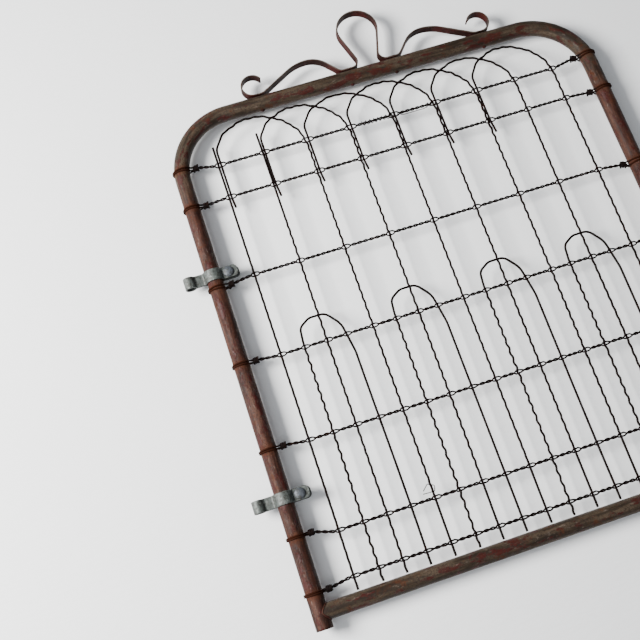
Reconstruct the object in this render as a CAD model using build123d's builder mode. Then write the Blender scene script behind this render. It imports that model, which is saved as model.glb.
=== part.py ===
"""Pipe yard gate: a bent steel tube frame, a woven wire fabric, a forged strip scroll
and two clamp-on strap hinges.

The origin is the pintle axis at mid height of the lower hinge eye. +Z is up, the gate
lies in the XZ plane and its front faces -Y. Heights are measured from the cut feet of
the two stiles, and places across the gate are measured from its centreline.
"""

import os
from math import asin
from math import cos
from math import degrees
from math import radians
from math import sin
from math import sqrt

from build123d import *

os.makedirs("parts", exist_ok=True)

# --- driving dimensions, in millimetres ---------------------------------------------
# frame
tube_od = 31.75
tube_wall = 2.6
stile_spacing = 877.0
corner_radius = 122.0
top_rail_height = 1009.0
bottom_rail_od = 30.0
bottom_rail_wall = 2.4
bottom_rail_height = 28.2

# hinges
strap_thickness = 2.8
strap_width = 23.5
eye_bore = 16.7
eye_to_stile = 47.7
strap_clearance = 0.325
hinge_heights = {"lower": 236.0, "upper": 680.0}
flange_gap = 9.0
flange_reach = 48.0
flange_corner = 8.5
bolt_offset = 30.0
bolt_diameter = 9.5
bolt_head_diameter = 21.0
bolt_head_height = 4.6
bolt_neck_length = 2.6
bolt_length = 27.0
nut_across_flats = 14.3
nut_height = 8.1

# wire fabric
pitch = 90.0
picket_count = 9
picket_wire = 3.9
line_strand = 2.7
line_wire_heights = (902.7, 830.5, 661.0, 493.2, 323.4, 152.8, 69.5)
line_wire_end_lifts = (8.0, -3.0, -5.0, 4.0, 5.0, 12.0, -6.0)
picket_foot = 45.0
wire_gap = 0.05
loop_count = 7
loop_leg_shift = 5.0
loop_leg_end = 805.0
lower_loop_top = 544.5

# how far each picket has crept sideways from its even place
picket_drift = (-2.5, -0.5, 1.5, 3.0, 5.5, 5.5, 7.0, 3.0, -2.5)

# scroll
scroll_depth = 19.0
scroll_thickness = 3.0
scroll_top_bend = 42.0
scroll_top_height = 127.5
scroll_lean = 17.0
scroll_foot_bend = 15.0
scroll_foot_length = 19.5
hump_height = 45.8
hump_rise = 49.0
hump_fall = 28.5
hump_inner_bend = 52.0
hump_outer_bend = 90.0
hump_foot_bend = 13.5
curl_foot_length = 10.0
curl_bend = 22.7
curl_sweep = 240.0

# rivets
rivet_shank = 5.0
rivet_head = 9.5
rivet_head_height = 2.6
rivet_hole_play = 0.05

# --- places worked out from them ------------------------------------------------------
tube_radius = tube_od / 2
centre_x = eye_to_stile + stile_spacing / 2
foot_z = -hinge_heights["lower"]
top_rail_z = foot_z + top_rail_height
rail_top_z = top_rail_z + tube_radius
half_span = stile_spacing / 2
corner_start = top_rail_height - corner_radius


def height(above_foot):
    """World height of a level measured from the stile feet."""
    return foot_z + above_foot


def picket_x(number):
    """World x of a main picket, numbered 1 to 9 from the hinge side."""
    even = (number - (picket_count + 1) / 2) * pitch
    return centre_x + even + picket_drift[number - 1]


def write(builder, name):
    """Label a finished piece and write it as one STEP file."""
    builder.part.label = name
    export_step(builder.part, f"parts/{name}.step")


def round_wire(line, diameter):
    """Sweep a round section along a planar or bent line."""
    with BuildPart() as wire:
        with BuildSketch(Plane(origin=line @ 0, z_dir=line % 0)):
            Circle(diameter / 2)
        sweep(path=line)
    return wire


# --- scroll layout: the rivet holes in the top rail follow from the scroll's bends -----
# flat part of the scroll's foot, where it is riveted, from the centreline
leg_sine = sin(radians(scroll_lean))
leg_cosine = cos(radians(scroll_lean))
scroll_mid = scroll_thickness / 2
loop_centre_height = scroll_top_height - scroll_top_bend
leg_start = loop_centre_height - scroll_top_bend * leg_sine
leg_end = scroll_mid + scroll_foot_bend * (1 + leg_sine)
leg_run = (leg_start - leg_end) / leg_cosine
foot_start = (scroll_top_bend + scroll_foot_bend) * leg_cosine - leg_run * leg_sine
inner_rivet = foot_start + scroll_foot_length / 2

# run from the scroll's foot up to the hump
rise_sine = sin(radians(hump_rise))
rise_cosine = cos(radians(hump_rise))
hump_climb = hump_height - scroll_mid
rise_run = (hump_climb - (hump_inner_bend + hump_foot_bend) * (1 - rise_cosine)) / rise_sine

# run from the hump down to the end curl
fall_sine = sin(radians(hump_fall))
fall_cosine = cos(radians(hump_fall))
fall_run = (hump_climb - (hump_outer_bend + curl_bend) * (1 - fall_cosine)) / fall_sine

hump_offset = (
    foot_start
    + scroll_foot_length
    + (hump_foot_bend + hump_inner_bend) * rise_sine
    + rise_run * rise_cosine
)
curl_foot = hump_offset + (hump_outer_bend + curl_bend) * fall_sine + fall_run * fall_cosine
outer_rivet = curl_foot + curl_foot_length / 2
rivet_offsets = (-outer_rivet, -inner_rivet, inner_rivet, outer_rivet)

# --- frame tube: both stiles and the top rail, bent from one length -------------------
def frame_line():
    """Centreline of the bent tube, from foot to foot."""
    left = centre_x - half_span
    right = centre_x + half_span
    with BuildLine(Plane.XZ) as line:
        FilletPolyline(
            (left, foot_z),
            (left, top_rail_z),
            (right, top_rail_z),
            (right, foot_z),
            radius=corner_radius,
        )
    return line.wire()


tube_line = frame_line()

with BuildPart() as frame_tube:
    with BuildSketch(Plane.XY.offset(foot_z)):
        with Locations((centre_x - half_span, 0)):
            Circle(tube_radius)
            Circle(tube_radius - tube_wall, mode=Mode.SUBTRACT)
    sweep(path=tube_line)
    with BuildSketch(Plane.XY.offset(rail_top_z + 1)):
        for offset_x in rivet_offsets:
            with Locations((centre_x + offset_x, 0)):
                Circle(rivet_shank / 2 + rivet_hole_play)
    extrude(amount=-(tube_od + 2), mode=Mode.SUBTRACT)
write(frame_tube, "frame_tube")

# --- bottom rail: a smaller tube, coped and welded between the stiles -----------------
with BuildPart() as bottom_rail:
    with BuildSketch(Plane.YZ.offset(centre_x - half_span)):
        with Locations((0, height(bottom_rail_height))):
            Circle(bottom_rail_od / 2)
            Circle(bottom_rail_od / 2 - bottom_rail_wall, mode=Mode.SUBTRACT)
    extrude(amount=stile_spacing)
    with BuildSketch(Plane.XY.offset(foot_z)):
        with Locations((centre_x - half_span, 0), (centre_x + half_span, 0)):
            Circle(tube_radius)
    extrude(amount=2 * bottom_rail_height, mode=Mode.SUBTRACT)
write(bottom_rail, "bottom_rail")


# --- top scroll: one flat bar on edge, bent round and riveted to the top rail ---------
def scroll_half():
    """Mid line of one half of the scroll, from the top of its loop to the curled end."""
    with BuildLine(Plane.XZ) as line:
        top = (centre_x, rail_top_z + scroll_top_height)
        loop = JernArc(top, (1, 0), scroll_top_bend, -(90 + scroll_lean))
        leg = Line(loop @ 1, loop @ 1 + (loop % 1) * leg_run)
        foot = JernArc(leg @ 1, leg % 1, scroll_foot_bend, 90 + scroll_lean)
        flat = Line(foot @ 1, foot @ 1 + (foot % 1) * scroll_foot_length)
        lift = JernArc(flat @ 1, flat % 1, hump_foot_bend, hump_rise)
        rise = Line(lift @ 1, lift @ 1 + (lift % 1) * rise_run)
        crest = JernArc(rise @ 1, rise % 1, hump_inner_bend, -hump_rise)
        shoulder = JernArc(crest @ 1, crest % 1, hump_outer_bend, -hump_fall)
        fall = Line(shoulder @ 1, shoulder @ 1 + (shoulder % 1) * fall_run)
        landing = JernArc(fall @ 1, fall % 1, curl_bend, hump_fall)
        seat = Line(landing @ 1, landing @ 1 + (landing % 1) * curl_foot_length)
        JernArc(seat @ 1, seat % 1, curl_bend, curl_sweep)
    return line.wire()


scroll_line = scroll_half()

with BuildPart() as top_scroll:
    with BuildSketch(Plane.YZ.offset(centre_x)):
        with Locations((0, rail_top_z + scroll_top_height)):
            Rectangle(scroll_depth, scroll_thickness)
    sweep(path=scroll_line)
    mirror(about=Plane.YZ.offset(centre_x))
    with BuildSketch(Plane.XY.offset(rail_top_z - 1)):
        for offset_x in rivet_offsets:
            with Locations((centre_x + offset_x, 0)):
                Circle(rivet_shank / 2 + rivet_hole_play)
    extrude(amount=scroll_thickness + 2, mode=Mode.SUBTRACT)
write(top_scroll, "top_scroll")


# --- scroll rivets: domed above the strip, peened over under the rail -----------------
def dome(radius, rise):
    """Radius of the sphere whose cap has this base radius and rise."""
    return (radius * radius + rise * rise) / (2 * rise)


head_z = rail_top_z + scroll_thickness
tail_z = rail_top_z - tube_od
head_radius = rivet_head / 2
tail_radius = 0.85 * head_radius
shank_radius = rivet_shank / 2

with BuildPart() as scroll_rivets:
    for offset_x in rivet_offsets:
        rivet_x = centre_x + offset_x
        with BuildSketch(Plane.XZ):
            with BuildLine():
                Line((rivet_x, head_z + rivet_head_height), (rivet_x, tail_z - rivet_head_height))
                RadiusArc(
                    (rivet_x, tail_z - rivet_head_height),
                    (rivet_x + tail_radius, tail_z),
                    -dome(tail_radius, rivet_head_height),
                )
                Polyline(
                    (rivet_x + tail_radius, tail_z),
                    (rivet_x + shank_radius, tail_z),
                    (rivet_x + shank_radius, head_z),
                    (rivet_x + head_radius, head_z),
                )
                RadiusArc(
                    (rivet_x + head_radius, head_z),
                    (rivet_x, head_z + rivet_head_height),
                    -dome(head_radius, rivet_head_height),
                )
            make_face()
        revolve(axis=Axis((rivet_x, 0, 0), (0, 0, 1)))
write(scroll_rivets, "scroll_rivets")


# --- straight pickets: the two on the hinge side that end in a cut above the mesh -----
straight_picket_tops = (943.5, 947.0)

for number, top in enumerate(straight_picket_tops, start=1):
    with BuildPart() as picket:
        with BuildSketch(Plane.XY.offset(height(picket_foot))):
            with Locations((picket_x(number), 0)):
                Circle(picket_wire / 2)
        extrude(amount=top - picket_foot)
    write(picket, f"picket_{number}")


# --- looped pickets: each rises beside one picket, arches over the next and runs
#     down as the one after that, passing in front of one neighbour and behind the other
loop_tops = (984.0, 982.0, 980.5, 980.5, 980.5, 980.5, 980.5)
pass_over = 2.15

for number in range(1, loop_count + 1):
    leg_x = picket_x(number) + loop_leg_shift
    far_x = picket_x(number + 2)
    span = far_x - leg_x
    crown = height(loop_tops[number - 1])
    rise = crown - height(line_wire_heights[0])
    loop_line = FilletPolyline(
        (leg_x, 0, height(loop_leg_end)),
        (leg_x, 0, crown - 0.58 * rise),
        (leg_x + 0.12 * span, -pass_over, crown - 0.22 * rise),
        (leg_x + 0.36 * span, -pass_over, crown),
        (leg_x + 0.60 * span, pass_over, crown),
        (leg_x + 0.82 * span, pass_over, crown - 0.28 * rise),
        (leg_x + 0.96 * span, 0, crown - 0.68 * rise),
        (far_x, 0, crown - 1.12 * rise),
        (far_x, 0, height(picket_foot)),
        radius=(26, 28, 50, 50, 45, 45, 60),
    )
    looped_picket = round_wire(loop_line, picket_wire)
    write(looped_picket, f"looped_picket_{number}")


# --- lower loops: short staples that halve the spacing of the lower mesh --------------
cross_over = 4.2

for number in range(1, 5):
    middle_x = picket_x(2 * number)
    reach = pitch / 2
    crown = height(lower_loop_top)
    loop_line = FilletPolyline(
        (middle_x - reach, 0, height(picket_foot)),
        (middle_x - reach, 0, crown - 42),
        (middle_x - 0.94 * reach, -0.4 * cross_over, crown - 13),
        (middle_x - 0.46 * reach, -cross_over, crown),
        (middle_x + 0.26 * reach, -cross_over, crown),
        (middle_x + 0.80 * reach, 0, crown - 28),
        (middle_x + reach, 0, crown - 88),
        (middle_x + reach, 0, height(picket_foot)),
        radius=(24, 18, 22, 24, 40, 80),
    )
    lower_loop = round_wire(loop_line, picket_wire)
    write(lower_loop, f"lower_loop_{number}")


# --- line wires: two strands with every picket gripped between them, each strand taken
#     round both stiles and brought back to its own knot ------------------------------
def leaving_angle(offset, bend, ring):
    """Angle at which a bend leaves a ring to run straight, this far off its centre."""
    return degrees(asin((offset + bend) / (ring + bend)))


strand_offset = picket_wire / 2 + wire_gap + line_strand / 2
strand_lift = line_strand / 2 + wire_gap
hook_bend = 12.0
hook_tail = 4.0
slope_start = 8.0
wrap_gap = 0.1


def stile_inset(above_foot):
    """How far the bent tube has already turned in at a height."""
    above = max(0.0, above_foot - corner_start)
    return corner_radius - sqrt(corner_radius**2 - above**2)


def strand_line(above_foot, lift, side):
    """Line of one strand: a hook round each stile and a run between them, which slopes
    to the level of the hooks outside the first and last pickets."""
    inset = stile_inset(above_foot + lift)
    ring = tube_radius + wrap_gap + 0.2 * inset + line_strand / 2
    angle = leaving_angle(strand_offset, hook_bend, ring)
    reach = (ring + hook_bend) * cos(radians(angle))
    turn = side * (90 - angle)
    wrap = -side * (360 - 2 * angle)
    run = stile_spacing - 2 * inset - 2 * reach
    knot_x = centre_x - run / 2
    far_knot_x = centre_x + run / 2
    line_y = side * strand_offset
    level = Plane.XY.offset(height(above_foot + lift) - side * strand_lift)
    with BuildLine(level) as line:
        tail = Line((knot_x + hook_tail, -line_y), (knot_x, -line_y))
        bend_out = JernArc(tail @ 1, tail % 1, hook_bend, turn)
        hook = JernArc(bend_out @ 1, bend_out % 1, ring, wrap)
        bend_in = JernArc(hook @ 1, hook % 1, hook_bend, turn)
        straight = FilletPolyline(
            (knot_x, line_y, 0),
            (knot_x + slope_start, line_y, 0),
            (picket_x(1) - 3, line_y, -lift),
            (picket_x(picket_count) + 3, line_y, -lift),
            (far_knot_x - slope_start, line_y, 0),
            (far_knot_x, line_y, 0),
            radius=(12, 25, 25, 12),
        )
        far_out = JernArc(straight @ 1, straight % 1, hook_bend, turn)
        far_hook = JernArc(far_out @ 1, far_out % 1, ring, wrap)
        far_in = JernArc(far_hook @ 1, far_hook % 1, hook_bend, turn)
        Line(far_in @ 1, far_in @ 1 + (far_in % 1) * hook_tail)
    return line.wire()


for number, above_foot in enumerate(line_wire_heights, start=1):
    end_lift = line_wire_end_lifts[number - 1]
    front_strand = round_wire(strand_line(above_foot, end_lift, -1), line_strand)
    rear_strand = round_wire(strand_line(above_foot, end_lift, 1), line_strand)
    with BuildPart() as line_wire:
        add(front_strand.part)
        add(rear_strand.part)
    write(line_wire, f"line_wire_{number}")

# --- repair wire: thin wire bound along the front of the top line wire --------------------
thin_wire = 1.6
repair_y = -(strand_offset + line_strand / 2 + thin_wire / 2 + wire_gap)
repair_z = height(line_wire_heights[0]) + strand_lift
repair_line = FilletPolyline(
    (picket_x(5) - 66, repair_y, repair_z),
    (picket_x(5) + 8, repair_y, repair_z),
    (picket_x(5) + 26, repair_y - 0.6, repair_z - 7),
    (picket_x(5) + 66, repair_y - 0.6, repair_z - 9),
    (picket_x(5) + 80, repair_y, repair_z),
    (picket_x(5) + 95, repair_y, repair_z),
    radius=8,
)
repair_wire = round_wire(repair_line, thin_wire)
write(repair_wire, "repair_wire")

# --- wire scrap: a bent offcut hooked over the third picket ---------------------------
scrap_y = -(picket_wire / 2 + thin_wire / 2 + wire_gap)
scrap_z = height(line_wire_heights[5]) + 18
scrap_line = FilletPolyline(
    (picket_x(3) - 19, scrap_y, scrap_z - 6),
    (picket_x(3) + 3, scrap_y, scrap_z - 7),
    (picket_x(3) + 6, scrap_y, scrap_z + 3),
    (picket_x(3) - 6, scrap_y, scrap_z + 10),
    (picket_x(3) - 17, scrap_y, scrap_z - 1),
    radius=3,
)
wire_scrap = round_wire(scrap_line, thin_wire)
write(wire_scrap, "wire_scrap")

# --- hinges: a strap folded round the stile into a pintle eye, drawn tight by a bolt --
band_bend = 3.9
neck_bend = 6.4
neck_gap = 0.8
half_strap = strap_thickness / 2
band_ring = tube_radius + strap_clearance + half_strap
eye_ring = eye_bore / 2 + half_strap
flange_y = flange_gap / 2 + half_strap
flange_face = flange_gap / 2 + strap_thickness
neck_y = neck_gap / 2 + half_strap
rear_flange_extra = 3.0
bolt_x = eye_to_stile + bolt_offset
hole_play = 0.3
thread_play = 0.05


def strap_line(level):
    """Mid line of the strap: flange, band, neck, eye and back by the other side."""
    flange_angle = leaving_angle(flange_y, band_bend, band_ring)
    band_angle = leaving_angle(neck_y, neck_bend, band_ring)
    eye_angle = leaving_angle(neck_y, neck_bend, eye_ring)
    bend_x = (band_ring + band_bend) * cos(radians(flange_angle))
    band_reach = (band_ring + neck_bend) * cos(radians(band_angle))
    eye_reach = (eye_ring + neck_bend) * cos(radians(eye_angle))
    neck_run = eye_to_stile - band_reach - eye_reach
    band_turn = -(180 - flange_angle - band_angle)
    with BuildLine(Plane.XY.offset(level)) as line:
        front = Line(
            (eye_to_stile + flange_reach, -flange_y),
            (eye_to_stile + bend_x, -flange_y),
        )
        fold = JernArc(front @ 1, front % 1, band_bend, 90 - flange_angle)
        band = JernArc(fold @ 1, fold % 1, band_ring, band_turn)
        nip = JernArc(band @ 1, band % 1, neck_bend, 90 - band_angle)
        neck = Line(nip @ 1, nip @ 1 + (nip % 1) * neck_run)
        flare = JernArc(neck @ 1, neck % 1, neck_bend, 90 - eye_angle)
        eye = JernArc(flare @ 1, flare % 1, eye_ring, -(360 - 2 * eye_angle))
        rear_flare = JernArc(eye @ 1, eye % 1, neck_bend, 90 - eye_angle)
        rear_neck = Line(rear_flare @ 1, rear_flare @ 1 + (rear_flare % 1) * neck_run)
        rear_nip = JernArc(rear_neck @ 1, rear_neck % 1, neck_bend, 90 - band_angle)
        rear_band = JernArc(rear_nip @ 1, rear_nip % 1, band_ring, band_turn)
        rear_fold = JernArc(rear_band @ 1, rear_band % 1, band_bend, 90 - flange_angle)
        Line(rear_fold @ 1, (eye_to_stile + flange_reach + rear_flange_extra, flange_y))
    return line.wire()


def make_strap(name, level):
    """The folded strap, with a square hole in front and a round one behind."""
    line = strap_line(level)
    with BuildPart() as strap:
        with BuildSketch(Plane.YZ.offset(eye_to_stile + flange_reach)):
            with Locations((-flange_y, level)):
                Rectangle(strap_thickness, strap_width)
        sweep(path=line)
        ends = strap.faces().filter_by(Axis.X).sort_by(Axis.X)[-2:]
        fillet(ends.edges().filter_by(Axis.Y), flange_corner)
        with BuildSketch(Plane.XZ.offset(flange_face + 1)):
            with Locations((bolt_x, level)):
                square_hole = bolt_diameter + 2 * hole_play
                Rectangle(square_hole, square_hole)
        extrude(amount=-(strap_thickness + 2), mode=Mode.SUBTRACT)
        with BuildSketch(Plane.XZ.offset(1 - flange_gap / 2)):
            with Locations((bolt_x, level)):
                Circle(bolt_diameter / 2 + hole_play)
        extrude(amount=-(strap_thickness + 2), mode=Mode.SUBTRACT)
    write(strap, name)


def make_bolt(name, level):
    """Carriage bolt: domed head, square neck and plain shank."""
    tip_y = bolt_length - flange_face
    shank = bolt_diameter / 2
    tip_chamfer = 1.0
    bolt_plane = Plane.XY.offset(level)
    with BuildPart() as bolt:
        with BuildSketch(bolt_plane):
            with BuildLine():
                RadiusArc(
                    (bolt_x, -flange_face - bolt_head_height),
                    (bolt_x + bolt_head_diameter / 2, -flange_face),
                    -dome(bolt_head_diameter / 2, bolt_head_height),
                )
                Polyline(
                    (bolt_x + bolt_head_diameter / 2, -flange_face),
                    (bolt_x + shank, -flange_face),
                    (bolt_x + shank, tip_y - tip_chamfer),
                    (bolt_x + shank - tip_chamfer, tip_y),
                    (bolt_x, tip_y),
                    (bolt_x, -flange_face - bolt_head_height),
                )
            make_face()
        revolve(axis=Axis((bolt_x, 0, level), (0, 1, 0)))
        with BuildSketch(Plane.XZ.offset(flange_face)):
            with Locations((bolt_x, level)):
                Rectangle(bolt_diameter, bolt_diameter)
        extrude(amount=-bolt_neck_length)
    write(bolt, name)


def make_nut(name, level):
    """Hexagon nut with both faces turned down at the corners."""
    corner = nut_across_flats / sqrt(3)
    turned = 0.6
    with BuildPart() as nut:
        with BuildSketch(Plane.XZ.offset(-flange_face)):
            with Locations((bolt_x, level)):
                RegularPolygon(nut_across_flats / 2, 6, major_radius=False)
                Circle(bolt_diameter / 2 + thread_play, mode=Mode.SUBTRACT)
        extrude(amount=-nut_height)
        with BuildSketch(Plane.XZ.offset(-flange_face)):
            with Locations((bolt_x, level)):
                Circle(corner)
        turned_blank = extrude(amount=-nut_height, mode=Mode.PRIVATE)
        rims = turned_blank.edges().filter_by(GeomType.CIRCLE)
        add(turned_blank.chamfer(turned, None, rims), mode=Mode.INTERSECT)
    write(nut, name)


for place, above_foot in hinge_heights.items():
    make_strap(f"{place}_hinge_strap", height(above_foot))
    make_bolt(f"{place}_hinge_bolt", height(above_foot))
    make_nut(f"{place}_hinge_nut", height(above_foot))
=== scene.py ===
from math import radians

import bpy
import numpy as np
from mathutils import Matrix, Vector


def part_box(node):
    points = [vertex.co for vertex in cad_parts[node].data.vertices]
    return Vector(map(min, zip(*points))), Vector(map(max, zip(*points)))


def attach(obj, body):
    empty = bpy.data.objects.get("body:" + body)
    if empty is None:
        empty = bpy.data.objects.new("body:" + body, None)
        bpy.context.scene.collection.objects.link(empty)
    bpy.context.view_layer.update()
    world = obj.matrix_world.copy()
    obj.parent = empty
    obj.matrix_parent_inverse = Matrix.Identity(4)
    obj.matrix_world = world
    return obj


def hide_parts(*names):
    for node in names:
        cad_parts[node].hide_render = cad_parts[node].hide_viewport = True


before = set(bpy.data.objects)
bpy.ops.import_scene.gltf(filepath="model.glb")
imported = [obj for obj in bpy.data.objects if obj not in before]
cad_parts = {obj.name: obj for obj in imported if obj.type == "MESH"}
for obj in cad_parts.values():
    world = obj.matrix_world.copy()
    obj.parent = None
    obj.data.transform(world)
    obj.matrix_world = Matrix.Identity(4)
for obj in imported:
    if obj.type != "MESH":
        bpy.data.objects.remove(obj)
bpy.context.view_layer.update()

# ---------------------------------------------------------------------------------------
# The place: the gate hangs just clear of a plain white board, seen from low down on the
# hinge side with the camera turned on its side a little. Lengths are metres throughout.
tube_low, tube_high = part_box("frame_tube")
tube_radius = (tube_high.y - tube_low.y) / 2
left_x = tube_low.x + tube_radius
right_x = tube_high.x - tube_radius
centre_x = (left_x + right_x) / 2
foot_z = tube_low.z
top_z = tube_high.z - tube_radius
first_line_z = foot_z + 0.9027

camera_data = bpy.data.cameras.new("camera")
camera_data.lens = 53.45
camera_data.clip_end = 50
camera = bpy.data.objects.new("camera", camera_data)
bpy.context.scene.collection.objects.link(camera)
bpy.context.scene.camera = camera
eye_point = Vector((centre_x - 0.4594, -1.7329, first_line_z - 0.8472))
look_point = Vector((centre_x - 0.2712, 0, first_line_z - 0.3678))
gaze = (look_point - eye_point).to_track_quat("-Z", "Y").to_matrix().to_4x4()
camera.matrix_world = Matrix.Translation(eye_point) @ gaze @ Matrix.Rotation(radians(-19.02), 4, "Z")

board_y = 0.030
board_half = 6.0
board_mesh = bpy.data.meshes.new("board")
board_corners = [
    (-board_half, board_y, -board_half),
    (board_half, board_y, -board_half),
    (board_half, board_y, board_half),
    (-board_half, board_y, board_half),
]
board_mesh.from_pydata(board_corners, [], [(0, 1, 2, 3)])
board = bpy.data.objects.new("board", board_mesh)
bpy.context.scene.collection.objects.link(board)
board.visible_shadow = False


def lamp(name, place, aim, size, power, colour):
    """A square area lamp at a place, turned to face the aim point."""
    data = bpy.data.lights.new(name, "AREA")
    data.size = size
    data.energy = power
    data.color = colour
    lamp_object = bpy.data.objects.new(name, data)
    bpy.context.scene.collection.objects.link(lamp_object)
    lamp_object.location = place
    lamp_object.rotation_mode = "QUATERNION"
    lamp_object.rotation_quaternion = (Vector(aim) - Vector(place)).to_track_quat("-Z", "Y")


middle = (centre_x, 0, foot_z + 0.55)
lamp("window", (centre_x - 2.5, -1.9, 0.7), middle, 1.2, 330, (1.0, 0.99, 0.97))
lamp("room", (centre_x - 1.6, -3.4, -0.9), middle, 2.6, 55, (0.95, 0.975, 1.0))
lamp("behind", (centre_x + 0.8, 3.4, 1.6), middle, 2.5, 150, (0.96, 0.98, 1.0))
world = bpy.data.worlds.new("room_light")
bpy.context.scene.world = world
world.use_nodes = True
world.node_tree.nodes["Background"].inputs["Color"].default_value = (0.86, 0.9, 0.95, 1)
world.node_tree.nodes["Background"].inputs["Strength"].default_value = 0.28


class Tone:
    """A value worked out over a surface: arithmetic on it adds the finish's Math nodes."""

    def __init__(self, finish, socket):
        self.finish = finish
        self.socket = socket

    def __add__(self, other):
        return self.finish.figure("ADD", self, other)

    def __radd__(self, other):
        return self.finish.figure("ADD", other, self)

    def __sub__(self, other):
        return self.finish.figure("SUBTRACT", self, other)

    def __rsub__(self, other):
        return self.finish.figure("SUBTRACT", other, self)

    def __mul__(self, other):
        return self.finish.figure("MULTIPLY", self, other)

    def __rmul__(self, other):
        return self.finish.figure("MULTIPLY", other, self)


class Finish:
    """One surface finish: a material whose nodes come from node() and the calls below."""

    def __init__(self, name):
        self.material = bpy.data.materials.new(name)
        self.material.use_nodes = True
        self.tree = self.material.node_tree
        self.coat = self.tree.nodes["Principled BSDF"]

    def node(self, kind, settings, inputs, output=0):
        """A node of this type: settings are made first, then each input is set or linked."""
        made = self.tree.nodes.new(kind)
        for name, value in settings.items():
            setattr(made, name, value)
        for key, value in inputs.items():
            if isinstance(value, Tone):
                self.tree.links.new(value.socket, made.inputs[key])
            else:
                made.inputs[key].default_value = value
        return Tone(self, made.outputs[output])

    def figure(self, operation, first, second):
        """One Math node on two values, each worked out or a number."""
        return self.node("ShaderNodeMath", {"operation": operation}, {0: first, 1: second})

    def place(self):
        """The surface's own place in the gate."""
        return self.node("ShaderNodeTexCoord", {}, {}, "Object")

    def flow(self):
        """Place along a bar and round its section, stored on its points when it was made."""
        return self.node("ShaderNodeAttribute", {"attribute_name": "flow"}, {}, "Vector")

    def stretched(self, vector, scale):
        """The vector with each axis multiplied, which stretches or shrinks a pattern."""
        return self.node("ShaderNodeVectorMath", {"operation": "MULTIPLY"}, {0: vector, 1: scale})

    def noise(self, vector, scale, detail=4.0, rough=0.55):
        """Cloudy noise from 0 to 1, mostly near a half."""
        inputs = {"Vector": vector, "Scale": scale, "Detail": detail, "Roughness": rough}
        return self.node("ShaderNodeTexNoise", {}, inputs, "Fac")

    def cells(self, vector, scale):
        """Distance to the nearest of a scatter of points: small at pits and spots."""
        return self.node("ShaderNodeTexVoronoi", {}, {"Vector": vector, "Scale": scale}, "Distance")

    def step(self, value, low, high):
        """Smooth step: 0 below low, 1 above high."""
        settings = {"interpolation_type": "SMOOTHSTEP"}
        inputs = {"Value": value, "From Min": low, "From Max": high}
        return self.node("ShaderNodeMapRange", settings, inputs)

    def split(self, vector, axis):
        """One axis of a vector."""
        return self.node("ShaderNodeSeparateXYZ", {}, {0: vector}, axis)

    def blend(self, under, over, mask):
        """One colour laid over another by a mask."""
        settings = {"data_type": "RGBA"}
        ends = [shade if isinstance(shade, Tone) else (*shade, 1) for shade in (under, over)]
        return self.node("ShaderNodeMix", settings, {0: mask, 6: ends[0], 7: ends[1]}, 2)

    def lay(self, colour, roughness, metallic, height, depth, shine=0.5):
        """Joins the worked-out colour, gloss, metal and relief to the surface. shine is the
        strength of its plain reflections."""
        links = self.tree.links
        self.coat.inputs["Specular IOR Level"].default_value = shine
        for name, value in (("Roughness", roughness), ("Metallic", metallic)):
            if isinstance(value, Tone):
                links.new(value.socket, self.coat.inputs[name])
            else:
                self.coat.inputs[name].default_value = value
        links.new(colour.socket, self.coat.inputs["Base Color"])
        bump = self.node("ShaderNodeBump", {}, {"Height": height, "Distance": depth}, "Normal")
        links.new(bump.socket, self.coat.inputs["Normal"])
        return self.material


white_board = Finish("white_board")
board_place = white_board.place()
board_cloud = white_board.noise(board_place, 1.3, 3.0)
board_shade = white_board.blend((0.83, 0.84, 0.85), (0.88, 0.885, 0.89), board_cloud)
brush_marks = white_board.noise(white_board.stretched(board_place, (9, 1, 40)), 3.0, 5.0)
board_mesh.materials.append(white_board.lay(board_shade, 0.6, 0.0, brush_marks, 0.0006))
board_back = white_board.node("ShaderNodeNewGeometry", {}, {}, "Backfacing")
board_clear = white_board.node("ShaderNodeBsdfTransparent", {}, {})
board_out = white_board.tree.nodes["Material Output"].inputs["Surface"]
board_face = Tone(white_board, white_board.coat.outputs[0])
board_sides = white_board.node("ShaderNodeMixShader", {}, {0: board_back, 1: board_face, 2: board_clear})
white_board.tree.links.new(board_sides.socket, board_out)


# ---------------------------------------------------------------------------------------
# Frame tube: both stiles and the top rail are one length of steel tube, bent round at the
# corners. Old paint has worn through to rust, and the two feet are left open as sawn.
corner_bend = 0.122
tube_wall = 0.0026
inside_reach = 0.07
frame_step = 0.004
straight_reach, wavy_reach = 180, 250
line_heights = (0.9027, 0.8305, 0.661, 0.4932, 0.3234, 0.1528, 0.0695)
line_end_lifts = (0.008, -0.003, -0.005, 0.004, 0.005, 0.012, -0.006)
rng = np.random.default_rng(11)


def bend_bar(start, heading, moves, step=0.001):
    """Points along a bar bent in one plane. Each move is (length, 0) for a straight run or
    (radius, degrees) for a bend: a turn of k per metre from heading h puts the point at
    (sin(h + ks) - sin h, cos h - cos(h + ks)) / k from its start."""
    pieces = [np.array([start], float)]
    angle = radians(heading)
    for size, turn in moves:
        length = size * abs(radians(turn)) if turn else size
        s = np.linspace(0, length, max(2, int(length / step) + 2))[1:]
        if turn:
            k = radians(turn) / length
            run = [np.sin(angle + k * s) - np.sin(angle), np.cos(angle) - np.cos(angle + k * s)]
            run = np.stack(run) / k
        else:
            run = np.stack([np.cos(angle) * s, np.sin(angle) * s])
        pieces.append(pieces[-1][-1] + run.T)
        angle += radians(turn)
    return np.concatenate(pieces)


def upright(flat, y=0.0):
    """Points bent in a plane, stood up as X and Z at one Y."""
    return np.stack([flat[:, 0], np.full(len(flat), y), flat[:, 1]], 1)


def run_length(path):
    """Length along a path up to each of its points."""
    return np.concatenate([[0], np.cumsum(np.linalg.norm(np.diff(path, axis=0), axis=1))])


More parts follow.
